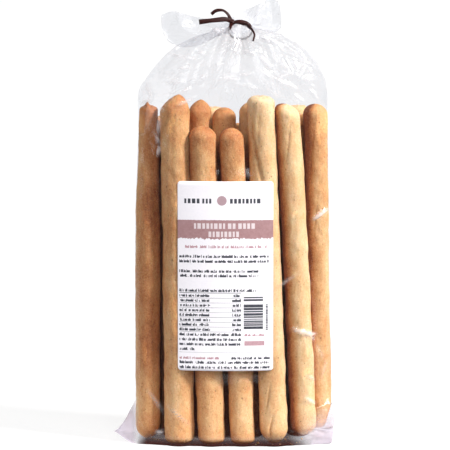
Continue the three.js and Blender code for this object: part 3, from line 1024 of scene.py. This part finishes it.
def ribbon_rings(path, across_hint, steps, widths, twist=0.0):
    """Rings of a flat ribbon with softened edges, and its width and twist along it.

    Without an across hint the ribbon shows its flat side to the front.
    """
    line = smooth_line(path, steps + 1)
    tangents = np.gradient(line, axis=0)
    rings = []
    for k, (at, tangent) in enumerate(zip(line, tangents)):
        t = k / steps
        tangent = tangent / np.linalg.norm(tangent)
        hint = np.cross(tangent, FRONTWARD) if across_hint is None else across_hint
        flat = hint - tangent * np.dot(hint, tangent)
        flat /= np.linalg.norm(flat)
        upright = np.cross(tangent, flat)
        a = twist * math.sin(math.pi * t)
        across = turned(a, flat, upright) * np.interp(t, np.linspace(0, 1, len(widths)), widths) / 2
        normal = turned(a, upright, -flat) * RIBBON_THICKNESS / 2
        rings.append([at + across * u + normal * v for u, v in RIBBON_SECTION])
    return rings


def ribbon_mesh(rings, points, faces):
    first = len(points)
    for ring in rings:
        points += ring
    faces += tube_faces(len(rings), len(rings[0]), first)


def knot_points(centre):
    """The tight wrap where the ribbon crosses itself: a few turns over a small core."""
    path = []
    for k in range(KNOT_STEPS + 1):
        a = math.radians(40 * k)
        r = KNOT_RADIUS + 0.1 * math.sin(3 * a)
        along = (k / KNOT_STEPS - 0.5) * KNOT_LENGTH
        path.append(centre + r * turned(a, 0.9 * RIGHT, NECK_FRONT) + NECK_AXIS * along)
    return path


# The ribbon's loose parts, from the knot on: where they run, their widths and twist.
LOOSE_ENDS = [
    ([(0, 0, 0), (-3, -1.4, 1.6), (-9, -2, 1.2), (-17.2, -1.2, 0.2)], [2.0, 2.7, 2.3, 2.7], 0.15),
    (
        [(0, 0, 0), (-1.3, -0.8, 2.8), (-2.6, -0.8, 4.8)]
        + [(-5, -0.4, 6.3), (-8.4, 0, 6), (-10.8, 0.2, 4.2)],
        [1.9, 1.6, 1.3, 1.9, 1.7],
        0.5,
    ),
    (
        [(0, 0, 0), (3.4, -1.4, -0.3), (7, -3.2, -1)]
        + [(10, -7.6, -2.9), (11.7, -10.2, -5.8), (11, -12.8, -9.1)],
        [1.3, 1.2, 2.2, 1.3, 1.0, 0.9],
        0.4,
    ),
    ([(0, 0, 0.4), (-0.5, -2.5, -1.2), (-0.9, -8.2, -3.2)], [2.2, 1.7, 0.7], 0.2),
]


def build_tie(material):
    points, faces = [], []
    loop = [loop_point(TIE_KNOT_ANGLE + 4 + 22 * k) for k in range(17)]
    knot = loop_point(TIE_KNOT_ANGLE) + 1.2 * NECK_FRONT
    ribbon_mesh(ribbon_rings(loop, NECK_AXIS, 72, [2.4, 1.5, 1.1, 1.2, 1.5, 2.0, 2.6]), points, faces)
    ribbon_mesh(ribbon_rings(knot_points(knot), NECK_AXIS, 60, [1.7, 2.1, 1.7]), points, faces)
    for run, widths, twist in LOOSE_ENDS:
        path = [knot + np.array(step) for step in run]
        ribbon_mesh(ribbon_rings(path, None, 36, widths, twist), points, faces)
    return make_object("ribbon_tie", points, faces, material)


# Crumbs in the bottom of the bag.


CRUMB_COUNT = 70
CRUMB_RINGS = 7
CRUMB_SIDES = 8
CRUMBS_LEFT, CRUMBS_RIGHT = -44, 40
CRUMBS_FRONT, CRUMBS_DEPTH = -19.5, 30


def build_crumbs(material):
    rng = random.Random(12)
    points, faces, tones = [], [], []
    for _ in range(CRUMB_COUNT):
        size = rng.uniform(0.2, 0.5) if rng.random() < 0.9 else rng.uniform(0.6, 1.0)
        x = rng.uniform(CRUMBS_LEFT, CRUMBS_RIGHT)
        y = CRUMBS_FRONT + rng.random() ** 2 * CRUMBS_DEPTH if abs(x) < 38 else rng.uniform(-8, 8)
        first = len(points)
        tone = rng.uniform(0.0, 0.4)
        for k in range(CRUMB_RINGS):
            for i in range(CRUMB_SIDES):
                a, b = math.tau * i / CRUMB_SIDES, math.pi * (k + 0.5) / CRUMB_RINGS
                lump = ripple(x + 2 * math.cos(a), y + k * 0.6, 2 * math.sin(a))
                r = size * (1 + 0.35 * lump)
                px = x + r * math.sin(b) * math.cos(a)
                py = y + r * math.sin(b) * math.sin(a)
                points.append((px, py, 0.25 + size * 0.75 - 0.75 * r * math.cos(b)))
                tones.append(tone)
        faces += tube_faces(CRUMB_RINGS, CRUMB_SIDES, first)
    obj = make_object("crumbs", points, faces, material)
    set_vertex_values(obj, "tone", tones)
    return obj


# Node helpers.


class Shader:
    """A material's nodes, with short names for the common ones."""

    def __init__(self, name):
        self.material = bpy.data.materials.new(name)
        self.material.use_nodes = True
        self.tree = self.material.node_tree
        self.tree.nodes.clear()
        place = self.add("TexCoord").outputs["Object"]
        self.mm = self.out("VectorMath", operation="SCALE", Vector=place, Scale=1 / MM)
        self.x, self.y, self.z = self.add("SeparateXYZ", self.mm).outputs

    def add(self, kind, *values, **named):
        """A node. Capitalised names are its sockets, others are its settings."""
        made = self.tree.nodes.new("ShaderNode" + kind)
        for key, value in named.items():
            if key[0].isupper():
                self.join(value, made.inputs[key.replace("_", " ")])
            else:
                setattr(made, key, value)
        for value, socket in zip(values, made.inputs):
            self.join(value, socket)
        return made

    def out(self, kind, *values, **named):
        return self.add(kind, *values, **named).outputs[0]

    def join(self, source, target):
        if isinstance(source, (int, float, tuple)):
            target.default_value = source
        else:
            self.tree.links.new(source, target)

    def math(self, operation, *values, clamp=False):
        return self.out("Math", *values, operation=operation, use_clamp=clamp)

    def times(self, product, *factors):
        for factor in factors:
            product = self.math("MULTIPLY", product, factor)
        return product

    def vector(self, x, y, z):
        return self.out("CombineXYZ", x, y, z)

    def distance(self, where, centre):
        return self.add("VectorMath", where, centre, operation="DISTANCE").outputs["Value"]

    def stretched(self, x, y, z, shift=0.0, slant=0.0):
        """Position in millimetres, leant over by some degrees, times a scale along each axis."""
        moved = (shift, shift * 0.7, shift * 1.3)
        lean = (0, math.radians(slant), 0)
        return self.out("Mapping", Vector=self.mm, Location=moved, Rotation=lean, Scale=(x, y, z))

    def noise(self, where, detail=3.0, roughness=0.55):
        return self.out("TexNoise", Vector=where, Scale=1.0, Detail=detail, Roughness=roughness)

    def cloud(self, x, y, z, shift=0.0, slant=0.0, **values):
        return self.noise(self.stretched(x, y, z, shift, slant), **values)

    def cells(self, x, y, z, shift):
        """Distance from the middle of the nearest of many cells."""
        where = self.stretched(x, y, z, shift)
        return self.add("TexVoronoi", Vector=where, Scale=1.0).outputs["Distance"]

    def ramp(self, value, stops):
        made = self.add("ValToRGB", value)
        elements = made.color_ramp.elements
        while len(elements) < len(stops):
            elements.new(0.5)
        for element, (at, colour) in zip(elements, stops):
            element.position = at
            element.color = colour
        return made.outputs[0]

    def between(self, value, low, high, out_low=0.0, out_high=1.0):
        """Value from low to high, carried over to out_low to out_high and held there."""
        return self.add("MapRange", value, low, high, out_low, out_high, clamp=True).outputs["Result"]

    def mix(self, share, a, b):
        """A colour part of the way from a to b; they are the node's seventh and eighth sockets."""
        made = self.add("Mix", share, data_type="RGBA")
        self.join(a, made.inputs[6])
        self.join(b, made.inputs[7])
        return made.outputs[2]

    def blend(self, share, a, b):
        """A shader part of the way from a to b."""
        return self.out("MixShader", share, a, b)

    def bump(self, height, distance, normal=None):
        made = self.add("Bump", Strength=1.0, Distance=distance * MM, Height=height)
        if normal is not None:
            self.join(normal, made.inputs["Normal"])
        return made.outputs[0]

    def attribute(self, name):
        return self.add("Attribute", attribute_name=name).outputs["Fac"]

    def finish(self, **values):
        return self.output(self.out("BsdfPrincipled", **values))

    def output(self, surface):
        self.add("OutputMaterial", Surface=surface)
        return self.material


# Materials.


# Crust colours, from pale to well baked, and flour.
CRUST_COLOURS = [
    (0.0, srgb(243, 212, 168)),
    (0.3, srgb(232, 188, 137)),
    (0.52, srgb(215, 159, 105)),
    (0.75, srgb(190, 121, 71)),
    (1.0, srgb(126, 62, 32)),
]
FLOUR_COLOUR = srgb(243, 217, 178)
# The film: its mirroring face on and edge on, its white painted highlights along the placed folds, and
# its haze at the neck.
FACE_SHINE = 0.035
EDGE_SHINE = 0.34
FILM_ROUGHNESS = 0.14
PAINTED_GLINT_HAZE = 0.75
GATHER_HAZE = 0.34
GATHER_CENTRE = tuple(NECK_CENTRE - np.array([0, 0, 3.0]))
FOLD_LINE_WIDTH = 0.022


def crust_material():
    s = Shader("baked_crust")
    patches = s.cloud(0.16, 0.16, 0.11, detail=4)
    mottle = s.cloud(0.75, 0.75, 0.7, 4, detail=5, roughness=0.7)
    fine = s.cloud(1.5, 1.5, 1.3, 27, detail=5, roughness=0.75)
    brown = s.attribute("tone")
    for texture, reach in ((patches, 0.11), (mottle, 0.08), (fine, 0.12)):
        brown = s.math("ADD", brown, s.between(texture, 0.3, 0.7, -reach, reach))
    colour = s.ramp(brown, CRUST_COLOURS)
    flour = s.cloud(2.2, 2.2, 1.9, 9, detail=5, roughness=0.7)
    colour = s.mix(s.between(flour, 0.52, 0.78, 0, 0.35), colour, FLOUR_COLOUR)
    rarely = s.between(s.cloud(0.22, 0.22, 0.22, 31, detail=2), 0.42, 0.56, 0.25, 1)
    flecks = s.between(s.cells(0.6, 0.6, 0.5, 2), 0.12, 0.2, 0.6, 0)
    colour = s.mix(s.times(flecks, rarely), colour, srgb(132, 78, 42))
    pores = s.between(s.cells(0.22, 0.22, 0.16, 12), 0.05, 0.1)
    # Painted shade in the pits: the pores are darkened in colour as well as dented.
    colour = s.mix(s.between(pores, 0, 1, 0.5, 0), colour, srgb(120, 66, 38))
    wrinkles = s.cloud(0.8, 0.8, 0.36, 17, slant=24, detail=4, roughness=0.6)
    grain = s.cloud(2.2, 2.2, 2.0, 23, detail=4, roughness=0.7)
    # Painted shade in the wrinkles' valleys: where the wrinkle bump is low, the colour is darkened.
    colour = s.mix(s.between(wrinkles, 0.34, 0.44, 0.14, 0), colour, srgb(190, 124, 74))
    bumped = s.bump(wrinkles, 0.36)
    bumped = s.bump(grain, 0.24, normal=bumped)
    bumped = s.bump(pores, 0.25, normal=bumped)
    return s.finish(
        Base_Color=colour,
        Roughness=s.between(grain, 0.3, 0.7, 0.5, 0.68),
        Normal=bumped,
        Specular_IOR_Level=0.3,
        Subsurface_Weight=0.2,
        Subsurface_Radius=(1.0, 0.3, 0.1),
        Subsurface_Scale=1.6 * MM,
    )


def fold_lines(s, shift):
    """Fine lines that run out from the neck, as the film is gathered there: 1 along a line."""
    x = s.math("SUBTRACT", s.x, float(NECK_CENTRE[0]))
    z = s.math("SUBTRACT", s.z, float(NECK_CENTRE[2]))
    round_neck = s.times(s.math("ARCTAN2", z, x), 3.2)
    out = s.math("SQRT", s.math("MULTIPLY_ADD", x, x, s.times(z, z)))
    bend = s.times(s.cloud(0.05, 0.05, 0.05, shift, detail=2), 3.0)
    where = s.vector(s.math("ADD", round_neck, bend), s.times(out, 0.03), shift)
    off = s.math("ABSOLUTE", s.math("SUBTRACT", s.noise(where, detail=3, roughness=0.6), 0.5))
    here = s.between(s.cloud(0.07, 0.07, 0.07, shift + 3, detail=2), 0.42, 0.6)
    return s.times(s.between(off, 0, FOLD_LINE_WIDTH, 1, 0), here)


def film_material():
    """Clear film: tinted a little, glossy, hazy where it is gathered, whitened along its folds as
    painted highlights, and darkened at the bottom as painted shadow.
    """
    s = Shader("clear_film")
    waves = s.cloud(0.08, 0.08, 0.055, 5, detail=3, roughness=0.45)
    wrinkles = s.cloud(0.24, 0.24, 0.15, 8, detail=2, roughness=0.5)
    bumped = s.bump(waves, 0.5)
    bumped = s.bump(s.times(wrinkles, s.between(s.z, 165, 195, 0.25, 0.6)), 0.15, normal=bumped)
    above = s.between(s.z, 172, 186)
    faint = s.times(fold_lines(s, 7.0), above, 0.28)
    tint = s.mix(faint, (0.93, 0.936, 0.952, 1), (0.78, 0.79, 0.82, 1))
    clear = s.out("BsdfTransparent", Color=tint)
    gloss = s.out("BsdfGlossy", Color=(1, 1, 1, 1), Roughness=FILM_ROUGHNESS, Normal=bumped)
    facing = s.add("LayerWeight", Blend=0.5, Normal=bumped).outputs["Facing"]
    shine = s.math("MULTIPLY_ADD", s.math("POWER", facing, 5.0), EDGE_SHINE, FACE_SHINE, clamp=True)
    shine = s.times(shine, s.between(s.z, 26, 40, 0.14, 1))
    # Crumpled bottom corners are pale: partly the crumpled film's own whiteness, partly painted light
    # standing for their folds' highlights. The bottom between them is darkened brown: a painted shadow
    # under the sticks.
    left_corner = s.times(s.between(s.x, -54, -50, 0.6, 0), s.between(s.z, 15, 30, 1, 0))
    right_corner = s.times(s.between(s.x, 34, 46, 0, 0.6), s.between(s.z, 6, 20, 1, 0))
    # Pale haze on the crumpled corners: partly the film's crumple, partly painted light for its
    # highlights over the floor's shadow.
    crumple_and_highlight = s.math("MAXIMUM", left_corner, right_corner)
    middle = s.times(s.between(s.x, 30, 42, 1, 0), s.between(s.x, -52, -46))
    # Painted shadow: the film's bottom between the corners is darkened as if in the sticks' shade.
    painted_base_shadow = s.times(middle, s.math("POWER", s.between(s.z, 0.9, 6.5, 1, 0), 2.0))
    colour = s.mix(s.between(crumple_and_highlight, 0, 0.4), srgb(250, 250, 255), srgb(228, 220, 234))
    colour = s.mix(s.between(painted_base_shadow, 0, 0.3), colour, srgb(76, 36, 32))
    lit = s.out("BsdfDiffuse", Color=colour, Normal=bumped)
    through = s.out("BsdfTranslucent", Color=colour, Normal=bumped)
    gathered = s.between(s.distance(s.mm, GATHER_CENTRE), 5, 19, 1, 0)
    hazy = s.math("MULTIPLY_ADD", gathered, GATHER_HAZE, s.between(s.z, 178, 205, 0.006, 0.05))
    hazy = s.math("ADD", hazy, s.times(fold_lines(s, 0.0), above, 0.18))
    # Painted highlights: the film is whitened along the placed folds.
    hazy = s.math("MULTIPLY_ADD", s.attribute("painted_glint"), PAINTED_GLINT_HAZE, hazy)
    hazy = s.math("ADD", hazy, s.math("MAXIMUM", s.times(painted_base_shadow, 0.9), crumple_and_highlight))
    return s.output(s.blend(hazy, s.blend(shine, clear, gloss), s.blend(0.5, lit, through)))


def on_paper(s, colour, fibre, rough_low, rough_high, **values):
    rough = s.between(fibre, 0.3, 0.7, rough_low, rough_high)
    return s.finish(Base_Color=colour, Roughness=rough, Normal=s.bump(fibre, 0.03), **values)


def paper_material():
    """Off-white paper with a torn-edged mauve band, a pink dot and a few specks."""
    s = Shader("label_paper")
    v = s.math("SUBTRACT", s.z, LABEL_CENTRE_Z)
    torn = s.cloud(0.45, 0, 0, 3, detail=5, roughness=0.7)
    above = s.math("GREATER_THAN", v, s.between(torn, 0.25, 0.75, 18.9, 21.2))
    band = s.times(above, s.math("LESS_THAN", v, s.between(torn, 0.25, 0.75, 29.9, 29.5)))
    dot_centre = (LABEL_CENTRE_X + DOT_U, 0.0, LABEL_CENTRE_Z + DOT_V)
    dot_far = s.distance(s.vector(s.x, 0.0, s.z), dot_centre)
    dot = s.between(dot_far, DOT_RADIUS - 0.15, DOT_RADIUS, 0.75, 0)
    fibre = s.cloud(0.9, 0.9, 0.9, 6, detail=5, roughness=0.7)
    colour = s.mix(s.between(fibre, 0.3, 0.7), srgb(246, 243, 251), srgb(252, 249, 255))
    speck = s.between(s.cells(0.5, 0, 0.5, 3), 0.03, 0.07, 0.25, 0)
    colour = s.mix(speck, colour, srgb(170, 165, 172))
    worn = s.cloud(0.5, 0.5, 0.5, 14, detail=6, roughness=0.75)
    band_colour = s.mix(s.between(worn, 0.35, 0.65), srgb(164, 126, 129), srgb(178, 142, 144))
    colour = s.mix(band, colour, band_colour)
    colour = s.mix(dot, colour, srgb(150, 98, 108))
    return on_paper(s, colour, fibre, 0.45, 0.58, Specular_IOR_Level=0.2)


def ink_material(name, thin, full):
    """Printed ink: fuller in some places than in others, on the same paper fibres."""
    s = Shader(name)
    fibre = s.cloud(0.9, 0.9, 0.9, 6, detail=5, roughness=0.7)
    worn = s.cloud(1.7, 1.7, 1.7, 11, detail=4, roughness=0.7)
    return on_paper(s, s.mix(s.between(worn, 0.3, 0.6), thin, full), fibre, 0.4, 0.55)


def label_materials():
    dark = ink_material("dark_ink", srgb(88, 90, 100), srgb(52, 55, 64))
    pink = ink_material("pink_ink", srgb(206, 172, 180), srgb(184, 142, 151))
    pale = ink_material("pale_ink", srgb(232, 220, 224), srgb(226, 210, 214))
    return [paper_material(), dark, pink, pale]


def ribbon_material():
    s = Shader("dark_ribbon")
    fibre = s.cloud(2.2, 2.2, 2.2, 3, detail=4, roughness=0.7)
    streaks = s.cloud(0.7, 4, 6, 8, detail=3)
    colour = s.mix(s.between(streaks, 0.3, 0.7), srgb(26, 8, 8), srgb(62, 26, 22))
    bumped = s.bump(streaks, 0.12, normal=s.bump(fibre, 0.08))
    gloss = s.between(fibre, 0.3, 0.7, 0.32, 0.5)
    return s.finish(Base_Color=colour, Roughness=gloss, Normal=bumped, Specular_IOR_Level=0.2)


def floor_material():
    """A white sweep, lit from within behind the pack like a light table."""
    s = Shader("studio_sweep")
    shade = s.cloud(0.004, 0.004, 0.004, detail=2)
    return s.finish(
        Base_Color=s.mix(s.between(shade, 0.3, 0.7), (0.29, 0.29, 0.29, 1), (0.31, 0.31, 0.31, 1)),
        Roughness=0.9,
        Specular_IOR_Level=0.1,
        Emission_Color=(1, 1, 1, 1),
        Emission_Strength=s.between(s.y, 0, 1200, 0.785, 0.745),
    )


# The stage.


def build_sweep(material):
    """A pale floor that curves up into a wall far behind the pack."""
    radius, wall, half_width, front, back, bends = 500, 1500, 800, -70, 900, 16
    profile = [(front, 0), (back, 0)]
    for k in range(1, bends + 1):
        a = math.pi / 2 * k / bends
        profile.append((back + radius * math.sin(a), radius * (1 - math.cos(a))))
    profile.append((back + radius, wall))
    points = []
    for y, z in profile:
        points += [(-half_width, y, z), (half_width, y, z)]
    faces = [(2 * k, 2 * k + 1, 2 * k + 3, 2 * k + 2) for k in range(len(profile) - 1)]
    sweep = make_object("studio_floor", points, faces, material)


def aim(obj, place, target):
    obj.location = place
    obj.rotation_euler = (target - place).to_track_quat("-Z", "Y").to_euler()


def add_area_light(name, place, size, power, colour=(1, 1, 1)):
    data = bpy.data.lights.new(name, "AREA")
    data.energy = power
    data.size = size
    data.color = colour
    aim(placed(name, data), Vector(place), LAMP_TARGET)


def light_scene():
    world = bpy.data.worlds.new("studio")
    bpy.context.scene.world = world
    world.use_nodes = True
    background = world.node_tree.nodes["Background"]
    background.inputs["Color"].default_value = (0.97, 0.98, 1, 1)
    background.inputs["Strength"].default_value = 0.09
    for name, lamp in LAMPS.items():
        add_area_light(name, *lamp)
    for k, place in enumerate(GLINT_LIGHTS):
        add_area_light(f"glint_{k + 1}", place, GLINT_SIZE, GLINT_POWER)
    bpy.context.scene.view_settings.view_transform = "Standard"


def add_camera():
    data = bpy.data.cameras.new("camera")
    data.sensor_width = SENSOR_WIDTH
    data.lens = SENSOR_WIDTH * CAMERA_DISTANCE_MM / FRAME_WIDTH_MM
    data.clip_start = 0.05
    data.clip_end = 20
    target = Vector(CAMERA_TARGET) * MM
    back = Vector((0, -math.cos(CAMERA_ELEVATION), math.sin(CAMERA_ELEVATION)))
    camera = placed("camera", data)
    aim(camera, target + back * CAMERA_DISTANCE_MM * MM, target)
    bpy.context.scene.camera = camera


def main():
    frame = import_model()
    body = next(iter(frame["bodies"]))
    add_camera()
    crust = crust_material()
    pieces = [(build_film(film_material()), "bag")]
    pieces += [(build_stick(i, stick, crust), "bag") for i, stick in enumerate(STICKS)]
    pieces.append((build_crumbs(crust), "bag"))
    pieces.append((build_label(label_materials()), "label"))
    pieces.append((build_tie(ribbon_material()), "tie"))
    for piece, node in pieces:
        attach(piece, body)
        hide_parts(node)
    build_sweep(floor_material())
    light_scene()
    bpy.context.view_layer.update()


main()
